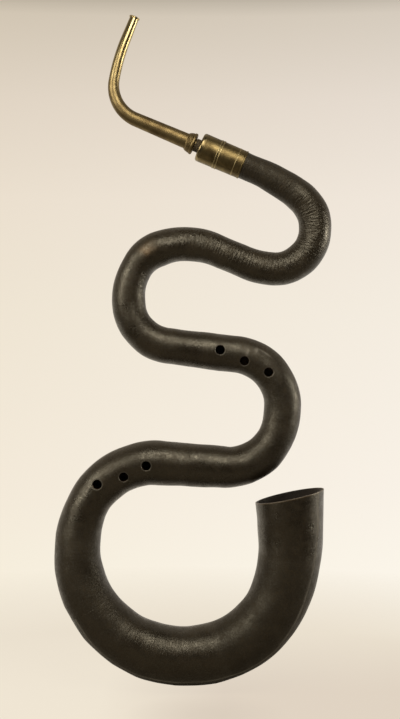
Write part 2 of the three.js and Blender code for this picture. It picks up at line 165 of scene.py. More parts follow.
picture = node(tree, "Background", {"Color": shown, "Strength": 1.0})
fill = node(tree, "Background", {"Color": (*ROOM_LIGHT, 1), "Strength": ROOM_STRENGTH})
mixed = node(tree, "MixShader", {0: seen, 1: fill.outputs[0], 2: picture.outputs[0]})
node(tree, "OutputWorld", {"Surface": mixed.outputs[0]})

# Paper under the horn. The sweep runs forward just below it and keeps the soft shadow the lamps
# cast on it. Painted light makes it brighter on the left, where the lamp stands, painted shade
# makes it darker on the right, and a painted shadow lies just in front of the bow. It fades into
# the sweep behind.
FLOOR_DROP = 0.012
FLOOR_REACH = 2.6
FLOOR_FADE = (0.50, 1.20)
FLOOR_COLOUR = (0.25, 0.225, 0.185)
FLOOR_BACK = (0.94, 0.85, 0.71)
# Painted light on the floor's left and painted shade on its right.
FLOOR_LEFT_PAINTED_LIGHT = (0.98, 0.89, 0.745)
FLOOR_RIGHT_PAINTED_SHADE = (0.84, 0.735, 0.615)
FLOOR_GLOW = 0.85
FLOOR_SIDES = (-0.13, 0.06)
FLOOR_DEPTHS = (0.0, 0.42)
MIRROR_DEPTHS = (0.0, 0.3)
# A painted shadow: a darker spot in the floor's colour just in front of the bow.
PAINTED_SHADOW_SPOT = (0.03, -0.13, 0)
PAINTED_SHADOW_REACH = (0.02, 0.12)
PAINTED_SHADOW_COLOUR = (0.70, 0.61, 0.51)
PAINTED_SHADOW_STRENGTH = 0.40
low = cad_bounds[0].z - FLOOR_DROP
floor_mesh = bpy.data.meshes.new("floor")
corners = [(x * FLOOR_REACH, y * FLOOR_REACH, low) for x, y in ((-1, -1), (1, -1), (1, 1), (-1, 1))]
floor_mesh.from_pydata(corners, [], [(0, 1, 2, 3)])
floor = bpy.data.objects.new("floor", floor_mesh)
bpy.context.scene.collection.objects.link(floor)
material = bpy.data.materials.new("paper")
material.use_nodes = True
tree = material.node_tree
tree.nodes.clear()
place = node(tree, "TexCoord").outputs["Object"]
flat = node(tree, "VectorMath", {0: place, 1: (1, 1, 0)}, operation="MULTIPLY")
reach = node(tree, "VectorMath", {0: flat.outputs[0]}, operation="LENGTH").outputs["Value"]
clear = stretched(tree, reach, *FLOOR_FADE)
side = node(tree, "SeparateXYZ", {"Vector": place}).outputs
# Painted light and shade across the floor, lighter to the left.
front = blended(tree, stretched(tree, side["X"], *FLOOR_SIDES), FLOOR_LEFT_PAINTED_LIGHT, FLOOR_RIGHT_PAINTED_SHADE)
# The painted shadow darkens the floor's colour round its spot.
from_spot = node(tree, "VectorMath", {0: flat.outputs[0], 1: PAINTED_SHADOW_SPOT}, operation="DISTANCE")
painted_shadow = stretched(tree, from_spot.outputs["Value"], *PAINTED_SHADOW_REACH, PAINTED_SHADOW_STRENGTH, 0.0)
floor_with_painted_shadow = blended(tree, painted_shadow, front, PAINTED_SHADOW_COLOUR)
shown = blended(tree, stretched(tree, side["Y"], *FLOOR_DEPTHS), floor_with_painted_shadow, FLOOR_BACK)
rays = node(tree, "LightPath").outputs
mirrored = sums(tree, "ADD", rays["Is Glossy Ray"], rays["Is Transmission Ray"])
behind = sums(tree, "MULTIPLY", mirrored, stretched(tree, side["Y"], *MIRROR_DEPTHS))
glow = sums(tree, "MULTIPLY", sums(tree, "ADD", rays["Is Camera Ray"], behind), FLOOR_GLOW)
lit = node(tree, "BsdfDiffuse", {"Color": (*FLOOR_COLOUR, 1)})
shining = node(tree, "Emission", {"Color": shown, "Strength": 1.0})
sheet = node(tree, "MixShader", {0: glow, 1: lit.outputs[0], 2: shining.outputs[0]})
bare = node(tree, "BsdfTransparent")
faded = node(tree, "MixShader", {0: clear, 1: sheet.outputs[0], 2: bare.outputs[0]})
node(tree, "OutputMaterial", {"Surface": faded.outputs[0]})
floor.data.materials.append(material)

# Lamps. A tall soft box stands to the left, a narrower one to the right, and a broad one hangs
# overhead, all a little warm.
LAMPS = [
    ("left_box", (-1.55, -1.20, 0.55), (1.0, 0.95), 22.0),
    ("right_box", (1.9, -0.10, 0.0), (0.4, 0.8), 14.0),
    ("top_box", (0.1, -1.10, 0.85), (0.85, 0.8), 14.0),
]
LAMP_COLOUR = (1.0, 0.93, 0.78)
LAMP_AIM = Vector((0, 0, -0.15))
for name, spot, (width, height), power in LAMPS:
    lamp = bpy.data.lights.new(name, "AREA")
    lamp.shape = "RECTANGLE"
    lamp.size = width
    lamp.size_y = height
    lamp.energy = power
    lamp.color = LAMP_COLOUR
    stand = bpy.data.objects.new(name, lamp)
    stand.location = spot
    stand.rotation_euler = (LAMP_AIM - Vector(spot)).to_track_quat("-Z", "Y").to_euler()
    stand.visible_camera = False
    bpy.context.scene.collection.objects.link(stand)


# The tube's course. A serpent's tube is drawn as straight runs and round bends, all in one plane,
# and grows steadily from neck to bell. Its finger holes are bored from the front.
class BentLine:
    """Straight runs and round bends in the XZ plane, from a start and a heading.

    Each stretch is (length of a run or radius of a bend, turn in degrees, tube radius at its end).
    A place part of the way round a bend lies on a chord at half the angle swept. Left turns are
    positive. Past lean_from, cross-sections lean steadily more, up to the slope at the line's end.
    """

    def __init__(self, start, heading, tube, stretches, lean_stretch=None, slope=0.0):
        size, turn, tube_end = np.array(stretches).T
        turn = np.radians(turn)
        self.run = np.where(turn == 0, size, size * np.abs(turn))
        self.rate = turn / self.run
        self.station = np.concatenate([[0], np.cumsum(self.run)])
        self.heading = heading + np.concatenate([[0], np.cumsum(turn)])
        self.tube = np.concatenate([[tube], tube_end])
        chord = self.run * np.sinc(turn / 2 / np.pi)
        middle = self.heading[:-1] + turn / 2
        self.x = start[0] + np.concatenate([[0], np.cumsum(chord * np.cos(middle))])
        self.z = start[2] + np.concatenate([[0], np.cumsum(chord * np.sin(middle))])
        self.span = self.station[-1]
        self.lean_from = self.span - 1 if lean_stretch is None else self.station[lean_stretch]
        self.slope = slope

    def place(self, station):
        """x, z and heading at a station."""
        k = np.clip(np.searchsorted(self.station, station, "right") - 1, 0, len(self.run) - 1)
        way = station - self.station[k]
        half = self.rate[k] * way / 2
        chord = way * np.sinc(half / np.pi)
        aim = self.heading[k] + half
        return self.x[k] + chord * np.cos(aim), self.z[k] + chord * np.sin(aim), aim + half

    def radius(self, station):
        """The tube's radius, straight from one stretch's end to the next."""
        return np.interp(station, self.station, self.tube)

    def surface(self, station, phi, radius):
        """The point a radius out from the line. phi 0 is the front, 90 degrees right of travel."""
        across = radius * np.sin(phi)
        lean = self.slope * np.maximum(0, station - self.lean_from) / (self.span - self.lean_from)
        x, z, heading = self.place(station + lean * across)
        return np.stack(np.broadcast_arrays(
            x + across * np.sin(heading), -radius * np.cos(phi), z - across * np.cos(heading)), -1)

    def locate(self, x, z, k):
        """Station and distance to the right of travel of a place beside the k-th stretch."""
        cos, sin = math.cos(self.heading[k]), math.sin(self.heading[k])
        dx, dz = x - self.x[k], z - self.z[k]
        if self.rate[k] == 0:
            return self.station[k] + dx * cos + dz * sin, dx * sin - dz * cos
        bend = 1 / self.rate[k]
        vx, vz = dx + bend * sin, dz - bend * cos
        ux, uz = bend * sin, -bend * cos
        swept = np.arctan2(ux * vz - uz * vx, ux * vx + uz * vz)
        across = np.sign(bend) * np.hypot(vx, vz) - bend
        return self.station[k] + swept * bend, across


MOUTH_HEADING = math.radians(-23)
MOUTH_TUBE = 0.0218
STRETCHES = {
    "neck": (0.097, 0, 0.0210),
    "neck_ease": (0.285, -15.5, 0.0249),
    "top_bow": (0.063, -147, 0.0260),
    "top_ease": (0.141, -17.5, 0.0246),
    "upper_run": (0.047, 0, 0.0251),
    "arch_lead": (0.119, 44.5, 0.0275),
    "left_arch_crown": (0.065, 37, 0.0249),
    "left_arch_side": (0.095, 39.5, 0.0257),
    "left_arch_foot": (0.071, 75, 0.0277),
    "middle_run": (0.107, 0, 0.0287),
    "right_bend_head": (0.080, -85, 0.0285),
    "right_bend_side": (0.119, -22, 0.0284),
    "right_bend_foot": (0.081, -69.5, 0.0322),
    "lower_run": (0.102, 0, 0.0345),
    "bow_lead": (0.116, 69, 0.0327),
    "bow_fall": (0.163, 94, 0.0444),
    "bow_floor": (0.175, 44.5, 0.0464),
    "bow_rise": (0.145, 45, 0.0471),
    "bell_ease": (0.239, 22.5, 0.0501),
    "bell_run": (0.061, 0, 0.0534),
}
BELL_SLANT = math.radians(10.5)
stretch_names = list(STRETCHES)
mouth = next(joint["pos_m"] for joint in frame["joints"] if joint["name"] == "crook_turn")
body_line = BentLine(
    mouth, MOUTH_HEADING, MOUTH_TUBE, list(STRETCHES.values()),
    lean_stretch=stretch_names.index("bell_run"), slope=math.tan(BELL_SLANT))


def station_on(name, share):
    """The body's station at a share of the way along a named stretch."""
    k = stretch_names.index(name)
    return body_line.station[k] + body_line.run[k] * share


HOLE_RADIUS = 0.0071
FINGER_HOLES = [
    ("middle_run", 0.741, -0.126),
    ("right_bend_head", 0.106, 0.267),
    ("right_bend_head", 0.475, 0.096),
    ("bow_lead", 0.139, -0.042),
    ("bow_lead", 0.425, -0.257),
    ("bow_lead", 0.711, 0.172),
]
holes = []
for name, along_share, side_share in FINGER_HOLES:
    station = station_on(name, along_share)
    side = side_share * body_line.radius(station)
    x, z, heading = body_line.place(station)
    centre = (x + side * math.sin(heading), z - side * math.cos(heading))
    holes.append((station, side, centre, heading, stretch_names.index(name)))

# Walls of the body. From the outside in they are leather, a hair of air, and wood, which is thick
# at the neck and thins toward the bell. Linen is let into the wood at its joints.
LEATHER = 0.0016
LINEN = 0.0009
LINEN_WIDTH = 0.038
NECK_WALL = 0.009
BELL_WALL = 0.0026
CLEARANCE = 0.0003
leather_outer = body_line.radius


def leather_inner(station):
    """The course's radius less the leather's thickness."""
    return leather_outer(station) - LEATHER


def wood_outer(station):
    """The leather's inner radius less the clearance."""
    return leather_inner(station) - CLEARANCE


def wood_inner(station):
    """The wood's outer radius less a wall that thins evenly with the station."""
    return wood_outer(station) - NECK_WALL - (BELL_WALL - NECK_WALL) * station / body_line.span


def lengths(start, joints, end, gap=CLEARANCE):
    """Starts and ends of neighbouring lengths, half a gap short of each joint between them."""
    starts = [start, *(joint + gap / 2 for joint in joints)]
    return list(zip(starts, [*(joint - gap / 2 for joint in joints), end]))


def steps_between(start, end, spacing, *extra):
    """Stations from start to end, evenly spaced, with the extra ones that lie between them."""
    count = max(2, round((end - start) / spacing) + 1)
    kept = [at for at in extra if start < at < end]
    return np.sort(np.concatenate([np.linspace(start, end, count), kept]))


def round_ends(station, start, end, first_edge, last_edge):
    """How far a face draws in near the ends of a piece: a quarter circle at each end."""
    inset = np.zeros_like(station)
    for way, edge in ((station - start, first_edge), (end - station, last_edge)):
        over = np.clip(edge - way, 0, edge)
        inset += edge - np.sqrt(np.maximum(edge ** 2 - over ** 2, 0))
    return inset


def edge_stations(start, end, first_edge, last_edge):
    """Stations for the rounded ends, closer together toward the very end."""
    shares = 1 - np.cos(np.linspace(0, math.pi / 2, 5))
    return [*(start + first_edge * shares), *(end - last_edge * shares)]

# Walnut tube. Each block of the serpent is hollowed as two halves and glued in the plane of the
# bends, then the blocks are butted end to end. The wood is bare in the bore and stained dark at
# the bell, and its joints are let in for linen.
WOOD_JOINTS = [
    station_on(name, 1)
    for name in ("top_bow", "left_arch_foot", "right_bend_foot", "bow_lead", "bow_floor")]
FERRULE_LENGTH = 0.0735
FERRULE_MOUTH_RADIUS = 0.0226
FERRULE_END_RADIUS = 0.0219
FERRULE_WALL = 0.0012
MOUTH_PLATE_DEPTH = 0.0055
SOCKET_RADIUS = 0.0115
SOCKET_WALL = 0.001
SOCKET_DEPTH = 0.050
LEATHER_START = FERRULE_LENGTH + CLEARANCE
SOCKET_END = SOCKET_DEPTH + CLEARANCE
WOOD_STEP = 0.004
WOOD_COLUMNS = 49
GLUE_GAP = 0.006
STEP = 1e-6
RIM_EDGE = 0.0009
TYPICAL_RADIUS = 0.03
SHARP_ANGLE = math.radians(38)
HOLE_BURR = 0.0004
HOLE_MARGIN = 0.0045
PATCH_RINGS = 5
EDGE_RINGS = 4


def skin(name, points, quads, phi, station, marks=None):
    """Puts a closed shell of quads into a new mesh, facing out, smooth but for its sharp edges.

    Its UV map unrolls it on a typical tube: around it in U, along it in V, both in metres. Marks
    are named values from 0 to 1, kept with each point.
    """
    a, b, c, d = np.moveaxis(points[quads], 1, 0)
    volume = np.einsum("ij,ij", a, np.cross(b, c) + np.cross(c, d))
    if volume < 0:
        quads = quads[:, ::-1]
    mesh = bpy.data.meshes.new(name)
    mesh.vertices.add(len(points))
    mesh.vertices.foreach_set("co", points.ravel())
    mesh.loops.add(quads.size)
    mesh.loops.foreach_set("vertex_index", quads.ravel())
    mesh.polygons.add(len(quads))
    mesh.polygons.foreach_set("loop_start", np.arange(0, quads.size, 4))
    mesh.update(calc_edges=True)
    around = phi[quads]
    wraps = np.ptp(around, axis=1, keepdims=True) > math.pi
    behind = wraps & (around < around.mean(1, keepdims=True))
    around = np.where(behind, around + 2 * math.pi, around)
    unrolled = np.stack([around * TYPICAL_RADIUS, station[quads]], -1)
    mesh.uv_layers.new(name="UVMap").data.foreach_set("uv", unrolled.ravel())
    for mark, amount in (marks or {}).items():
        mesh.attributes.new(mark, "FLOAT", "POINT").data.foreach_set("value", amount.ravel())
    mesh.polygons.foreach_set("use_smooth", np.ones(len(quads), bool))
    mesh.set_sharp_from_angle(angle=SHARP_ANGLE)
    made = bpy.data.objects.new(name, mesh)
    bpy.context.scene.collection.objects.link(made)
    return made


def grid_quads(rows, columns, closed, openings=()):
    """Quads of a grid whose points run row by row, without those inside the openings."""
    i, j = np.meshgrid(np.arange(rows - 1), np.arange(columns - (not closed)), indexing="ij")
    kept = np.ones(i.shape, bool)
    for top, bottom, left, right in openings:
        kept[top:bottom, left:right] = False
    i, j = i[kept], j[kept]
    k = (j + 1) % columns
    return np.stack([i * columns + j, i * columns + k, (i + 1) * columns + k, (i + 1) * columns + j], -1)


def strip(first, second):
    """Quads between two rows of points of the same length."""
    return np.stack([first[:-1], first[1:], second[1:], second[:-1]], -1)


def grid_sample(stations, phi, grid, s, angle):
    """A grid's value between its points, by straight interpolation along both of its sides."""
    i = np.clip(np.searchsorted(stations, s) - 1, 0, len(stations) - 2)
    j = np.clip(np.searchsorted(phi, angle) - 1, 0, len(phi) - 2)
    a = np.clip((s - stations[i]) / np.maximum(stations[i + 1] - stations[i], 1e-9), 0, 1)
    b = np.clip((angle - phi[j]) / (phi[j + 1] - phi[j]), 0, 1)
    near = grid[i, j] * (1 - b) + grid[i, j + 1] * b
    far = grid[i + 1, j] * (1 - b) + grid[i + 1, j + 1] * b
    return near * (1 - a) + far * a


def hole_rings(line, stations, phi, outer, inner, hole, edge):
    """The points round a bored hole, which is a circle seen from the front, in rings.

    They run in from a square of the grid to the circle, over an edge rounded by a quarter circle,
    through the wall, and out again to the same square of the inner grid. Returns the square's rows
    and columns, the row and column of each point on it, and the rings' stations, angles and radii.
    """
    at, side, centre, heading, k = hole
    cos, sin = math.cos(heading), math.sin(heading)
    reach = HOLE_RADIUS + HOLE_MARGIN
    top, bottom = np.searchsorted(stations, [at - reach, at + reach])
    swing = np.arcsin(np.clip((side + np.array([-reach, reach])) / line.radius(at), -1, 1))
    left, right = np.searchsorted(phi, swing)
    i = np.r_[np.full(right - left, top), np.arange(top, bottom),
              np.full(right - left, bottom), np.arange(bottom, top, -1)]
    j = np.r_[np.arange(left, right), np.full(bottom - top, right),
              np.arange(right, left, -1), np.full(bottom - top, left)]
    x, z, ahead = line.place(stations[i])
    across = line.radius(stations[i]) * np.sin(phi[j])
    dx = x + across * np.sin(ahead) - centre[0]
    dz = z - across * np.cos(ahead) - centre[1]
    square = dx * cos + dz * sin + 1j * (dx * sin - dz * cos)
    way = square / np.abs(square)
    share = np.linspace(0, 1, PATCH_RINGS + 1)[1:, None]
    quarter = np.linspace(0, math.pi / 2, EDGE_RINGS + 1)[1:, None]
    rim = HOLE_RADIUS + edge
    patch = square + share * (rim * way - square)
    over_edge = (rim - edge * np.sin(quarter)) * way
    rings = np.concatenate([patch, over_edge, [HOLE_RADIUS * way], patch[::-1]])
    depth = np.concatenate([0 * share, edge * (1 - np.cos(quarter)), [[0]], 0 * share])
    inside = np.arange(len(rings))[:, None] >= PATCH_RINGS + EDGE_RINGS
    x = centre[0] + rings.real * cos + rings.imag * sin
    z = centre[1] + rings.real * sin - rings.imag * cos
    s, across = line.locate(x, z, k)
    wall_out, wall_in = (np.interp(s, stations, wall[:, len(phi) // 2]) for wall in (outer, inner))
    sampled = grid_sample(stations, phi, outer, s, np.arcsin(np.clip(across / wall_out, -1, 1)))
    radius = np.where(inside, wall_in, sampled - depth)
    return (top, bottom, left, right), i, j, (s, np.arcsin(np.clip(across / radius, -1, 1)), radius)


def tube_wall(line, stations, phi, outer, inner, closed, bored=(), edge=0.0, marked=None):
    """Points, quads, angles, stations and marks of a wall between two radii along a line.

    outer and inner are grids of radii, stations by angles. The wall is closed at its ends, and at
    its sides where it doesn't go all round. The bored holes run through it, with rounded edges.
    """
    rows, columns = outer.shape
    count = rows * columns
    grid = np.meshgrid(stations, phi, indexing="ij")
    layers = [(*grid, outer), (*grid, inner)]
    number = np.arange(count).reshape(rows, columns)
    if closed:
        number = np.column_stack([number, number[:, 0]])
    quads = [
        strip(number[0, ::-1], number[0, ::-1] + count), strip(number[-1], number[-1] + count)]
    if not closed:
        quads += [
            strip(number[:, 0], number[:, 0] + count),
            strip(number[::-1, -1], number[::-1, -1] + count)]
    openings = []
    base = 2 * count
    for hole in bored:
        opening, i, j, layer = hole_rings(line, stations, phi, outer, inner, hole, edge)
        square = i * columns + j
        new = base + np.arange(layer[0].size).reshape(layer[0].shape)
        rings = np.vstack([square, new, count + square])
        rings = np.column_stack([rings, rings[:, 0]])
        quads += [strip(one, two) for one, two in zip(rings[:-1], rings[1:])]
        openings.append(opening)
        layers.append(layer)
        base += layer[0].size
    face = grid_quads(rows, columns, closed, openings)
    quads += [face, face[:, ::-1] + count]
    station, angle, radius = (np.concatenate([part.ravel() for part in parts]) for parts in zip(*layers))
    named = {mark: amount(station, angle) for mark, amount in (marked or {}).items()}
    return line.surface(station, angle, radius), np.concatenate(quads), angle, station, named


def ferrule_outer(station):
    """The ferrule's radius, straight from its mouth to its end."""
    return FERRULE_MOUTH_RADIUS + (FERRULE_END_RADIUS - FERRULE_MOUTH_RADIUS) * station / FERRULE_LENGTH


def wood_face(station):
    """The wood's outer radius: let in under each linen band, and turned down for the ferrule."""
    bound = np.any([np.abs(station - joint) < LINEN_WIDTH / 2 for joint in WOOD_JOINTS], axis=0)
    radius = wood_outer(station) - bound * (LINEN + CLEARANCE)
    return np.where(station < LEATHER_START, ferrule_outer(station) - FERRULE_WALL - CLEARANCE, radius)


def wood_bore(station):
    """The wood's inner radius, opened up at the mouth for the socket tube."""
    return np.where(station < SOCKET_END, SOCKET_RADIUS + SOCKET_WALL + CLEARANCE, wood_inner(station))


def finish(name):
    """A new material's node tree, its shader and itself."""
    made = bpy.data.materials.new(name)
    made.use_nodes = True
    return made.node_tree, made.node_tree.nodes["Principled BSDF"], made


def cloudy(tree, vector, scale, detail, roughness=0.5, distortion=0.0):
    """Fractal noise over a vector: detail is how many finer layers it adds, each weaker."""
    return node(tree, "TexNoise", {
        "Vector": vector, "Scale": scale, "Detail": detail, "Roughness": roughness,
        "Distortion": distortion}).outputs[0]


def drawn_out(tree, unrolled, across, along, turn=0.0):
    """The unrolled map times a scale around the tube and one along it, turned by an angle."""
    return node(tree, "Mapping", {
        "Vector": unrolled, "Scale": (across, along, 1), "Rotation": (0, 0, turn)}).outputs[0]


def raised(tree, height, strength, distance, under=None):
    """A normal tilted by the slope of strength times distance times a height, on one under it."""
    inputs = {"Height": height, "Strength": strength, "Distance": distance}
    if under is not None:
        inputs["Normal"] = under
    return node(tree, "Bump", inputs).outputs[0]


HEARTWOOD = [(0.3, (0.070, 0.040, 0.021)), (0.55, (0.125, 0.072, 0.038)), (0.75, (0.18, 0.11, 0.058))]
PORES = (0.022, 0.013, 0.008)
STAIN = (0.014, 0.0085, 0.0045)
STAIN_DEPTH = 0.09
FIBRE_SCALES = (520, 26)
FIGURE_SCALES = (90, 9)
PORE_LEVELS = (0.35, 0.62)
WOOD_ROUGHNESS = (0.3, 0.7, 0.75, 0.5)
WOOD_RELIEF = (0.5, 0.0002)
tree, shader, walnut = finish("walnut")
unrolled = node(tree, "TexCoord").outputs["UV"]
fibre = cloudy(tree, drawn_out(tree, unrolled, *FIBRE_SCALES), 1.0, 8, 0.62)
figure = cloudy(tree, drawn_out(tree, unrolled, *FIGURE_SCALES), 1.0, 3, distortion=0.6)
heart = ramp(tree, figure, HEARTWOOD)
wood_colour = blended(tree, stretched(tree, fibre, *PORE_LEVELS), PORES, heart)
stained = node(tree, "Attribute", attribute_name="stain").outputs["Fac"]
tree.links.new(blended(tree, stained, wood_colour, STAIN), shader.inputs["Base Color"])
tree.links.new(stretched(tree, fibre, *WOOD_ROUGHNESS), shader.inputs["Roughness"])
tree.links.new(raised(tree, fibre, *WOOD_RELIEF), shader.inputs["Normal"])


def bore_stain(station, phi):
    """Dark stain in the bell's mouth, fading down the bore by the root of the way left."""
    return np.clip(1 - (body_line.span - station) / STAIN_DEPTH, 0, 1) ** 0.5


for k, (start, end) in enumerate(lengths(0, WOOD_JOINTS, body_line.span), 1):
    start = MOUTH_PLATE_DEPTH + CLEARANCE if k == 1 else start
    edges = (0, RIM_EDGE if k == 6 else 0)
    jumps = [joint + side * LINEN_WIDTH / 2 for joint in WOOD_JOINTS for side in (-1, 1)]
    doubled = [at + nudge for at in (*jumps, LEATHER_START, SOCKET_END) for nudge in (-STEP, STEP)]
    extra = doubled + edge_stations(start, end, *edges)
    stations = np.unique(steps_between(start, end, WOOD_STEP, *extra))
    drawn_in = round_ends(stations, start, end, *edges)[:, None]
    for side, middle in (("front", 0), ("rear", math.pi)):
        reach = math.pi / 2 - GLUE_GAP
        phi = np.linspace(middle - reach, middle + reach, WOOD_COLUMNS)
        outer = wood_face(stations)[:, None] - drawn_in + 0 * phi
        inner = wood_bore(stations)[:, None] + drawn_in + 0 * phi
        bored = [hole for hole in holes if side == "front" and start < hole[0] < end]
        piece = skin(f"walnut_{side}_{k}", *tube_wall(
            body_line, stations, phi, outer, inner, False, bored, HOLE_BURR, {"stain": bore_stain}))
        piece.data.materials.append(walnut)
        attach(piece, "horn")
        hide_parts(f"wood_{side}_{k}")

# Linen bands. A strip of glue-soaked linen is wound round each butt joint of the wood, in a bed
# cut for it, and lies hidden under the leather.
LINEN_STEP = 0.0019
LINEN_COLUMNS = 72
WEAVE = 55
THREADS = (0.46, 0.39, 0.26)
BETWEEN_THREADS = (0.16, 0.12, 0.07)
LINEN_ROUGHNESS = 0.85
LINEN_RELIEF = (0.6, 0.0002)
tree, shader, linen = finish("linen")
unrolled = node(tree, "TexCoord").outputs["UV"]
warp, weft = (
    node(tree, "TexWave", {"Vector": unrolled, "Scale": WEAVE}, bands_direction=way).outputs["Fac"]
    for way in "XY")
cloth = sums(tree, "MAXIMUM", warp, weft)
tree.links.new(blended(tree, cloth, BETWEEN_THREADS, THREADS), shader.inputs["Base Color"])
shader.inputs["Roughness"].default_value = LINEN_ROUGHNESS
tree.links.new(raised(tree, cloth, *LINEN_RELIEF), shader.inputs["Normal"])
all_round = np.linspace(-math.pi, math.pi, LINEN_COLUMNS, endpoint=False)
for k, joint in enumerate(WOOD_JOINTS, 1):
    start, end = joint - LINEN_WIDTH / 2 + CLEARANCE, joint + LINEN_WIDTH / 2 - CLEARANCE
    stations = steps_between(start, end, LINEN_STEP)
    outer = wood_outer(stations)[:, None] + 0 * all_round
    piece = skin(
        f"linen_band_{k}", *tube_wall(body_line, stations, all_round, outer, outer - LINEN, True))
    piece.data.materials.append(linen)
    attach(piece, "horn")
    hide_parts(f"joint_band_{k}")

# Leather cover. Wet calf leather is drawn round the wood in six lengths and glued, with one edge
# lapped over the other. It gathers in fine ruffles inside the tight bends, shows the flats that
# the rasp left on the wood, and is polished and scuffed by two centuries of hands.
LEATHER_JOINTS = [
    station_on("upper_run", 0.5), station_on("middle_run", 0.42), station_on("lower_run", 0.55),
    station_on("bow_fall", 0.6), station_on("bow_rise", 0.5)]
LEATHER_EDGE = 0.0002
LEATHER_GAP = 0.00005
LEATHER_COLUMNS = 128
FINE_STEP = 0.0011
COARSE_STEP = 0.0021
BESIDE_LAP = (-0.03, -0.015, 0.0, 0.008, 0.016, 0.024, 0.04)
HOLE_ROLL = 0.0012
HOLE_FLAT = 0.014
HOLE_DIP = 0.00035
HOLE_DIP_REACH = 0.011
# Ruffles: from and to a station, middle angle, spread, spacing and height. They sway by waves of a
# size, a rate along the tube and one around it, and are stronger in patches of another wave.
RUFFLES = [
    (station_on(*first), station_on(*last), math.radians(degrees), spread, spacing, height)
    for first, last, degrees, spread, spacing, height in (
        (("top_bow", 0.10), ("top_ease", 0.6), 45, 0.60, 0.0056, 0.00040),
        (("top_ease", 0.4), ("left_arch_crown", 0.3), 30, 0.60, 0.0049, 0.00030),
        (("left_arch_crown", 0.3), ("left_arch_foot", 0.95), -75, 0.45, 0.0048, 0.00012),
        (("right_bend_head", 0.2), ("lower_run", 0.2), 80, 0.45, 0.0050, 0.00012),
        (("bow_fall", 0.35), ("bow_rise", 0.5), -45, 0.40, 0.0056, 0.00010))]
SWAYS = [(1.4, 170, 2), (0.9, 390, -3)]
RUFFLE_PATCHES = (0.4, 95, 1.7, 1)
RELIEF_FADE = 0.02
# Flats left by the rasp along the outside of the bends: stretch, their length and their depth.
FLATS = [
    ("top_bow", 0.036, 0.0004), ("left_arch_foot", 0.031, 0.0004), ("right_bend_foot", 0.033, 0.0006),
    ("bow_fall", 0.047, 0.0007), ("bow_floor", 0.050, 0.0007)]
# Lumps: height, waves along the tube and their start, waves around it and their start.
LUMPS = [
    (0.00030, 76, 1.7, 2, 0.4), (0.00022, 123, 4.0, 3, 1.0), (0.00018, 47, 2.2, 1, -2.0),
    (0.00010, 240, 0.6, 4, 2.0)]
# The lap of each length of leather: its angle, how thick and how wide the lapped edge is, over what
# width it stands up, and the size and rate of its wandering.
LAP_ANGLES = np.radians([150, 160, -160, -150, 50, 47])
LAP_HEIGHT = 0.0007
LAP_WIDTH = 0.011
LAP_RISE = 0.0008
LAP_WANDER = (0.06, 31)


def window(value, start, end, soft):
    """1 between start and end, falling smoothly to 0 over a soft distance at each."""
    rise = np.clip((value - start) / soft, 0, 1)
    fall = np.clip((end - value) / soft, 0, 1)
    return rise * rise * (3 - 2 * rise) * fall * fall * (3 - 2 * fall)


def hump(value, middle, width):
    """A bell curve: 1 at the middle, and 1/e a width away."""
    return np.exp(-((value - middle) / width) ** 2)


def ruffle_relief(station, phi):
    """Sine folds across the tube, swayed by two slow waves and stronger in patches."""
    total = 0 * station * phi
    sway = sum(size * np.sin(station * along + around * phi) for size, along, around in SWAYS)
    size, along, around, turn = RUFFLE_PATCHES
    patchy = 1 - size + size * np.sin(station * along + around * phi + turn)
    for start, end, middle, spread, spacing, height in RUFFLES:
        fold = np.sin(2 * math.pi * station / spacing + sway)
        place = window(station, start, end, RELIEF_FADE) * hump(phi, middle, spread)
        total = total + height * fold * patchy * place
    return total


def flat_relief(station, phi):
    """Chords across the outside of each bend: nothing at the corners, deepest between them."""
    total = 0 * station * phi
    for name, length, depth in FLATS:
        k = stretch_names.index(name)
        start, end = body_line.station[k], body_line.station[k + 1]
        outside = np.clip(np.sin(phi) * np.sign(body_line.rate[k]), 0, 1)
        between = (station - start) / length % 1
        chord = 4 * between * (1 - between)
        place = outside ** 1.5 * window(station, start, end, RELIEF_FADE)
        total = total - depth * (chord - 0.5) * place
    return total


def lump_relief(station, phi):
    """Slow unevenness of the rasped wood: waves along the tube times waves around it."""
    return sum(
        height * np.sin(station * along + first) * np.cos(around * phi + turn)
        for height, along, first, around, turn in LUMPS)


def lap_way(station, phi, angle):
    """How far round the tube a spot lies behind the lap's edge, which wanders a little."""
    size, rate = LAP_WANDER
    return (phi - angle + size * np.sin(station * rate)) * leather_outer(station)


def lap_relief(station, phi, angle):
    """The lapped edge stands up at once at the angle, and is pared away to nothing behind it."""
    way = lap_way(station, phi, angle)
    return LAP_HEIGHT * np.clip(1 - way / LAP_WIDTH, 0, 1) * np.clip(way / LAP_RISE, 0, 1)


def off_hole(station, phi, hole):
    """How far a spot lies from a finger hole's middle, along the tube and across it."""
    return station - hole[0], leather_outer(station) * np.sin(phi) - hole[1]


def near_holes(station, phi, width):
    """1 at the middle of a finger hole, falling off in a bell curve of a width."""
    total = 0 * station * phi
    for hole in holes:
        along, across = off_hole(station, phi, hole)
        total = total + np.exp(-(along ** 2 + across ** 2) / width ** 2) * (np.cos(phi) > 0)
    return total


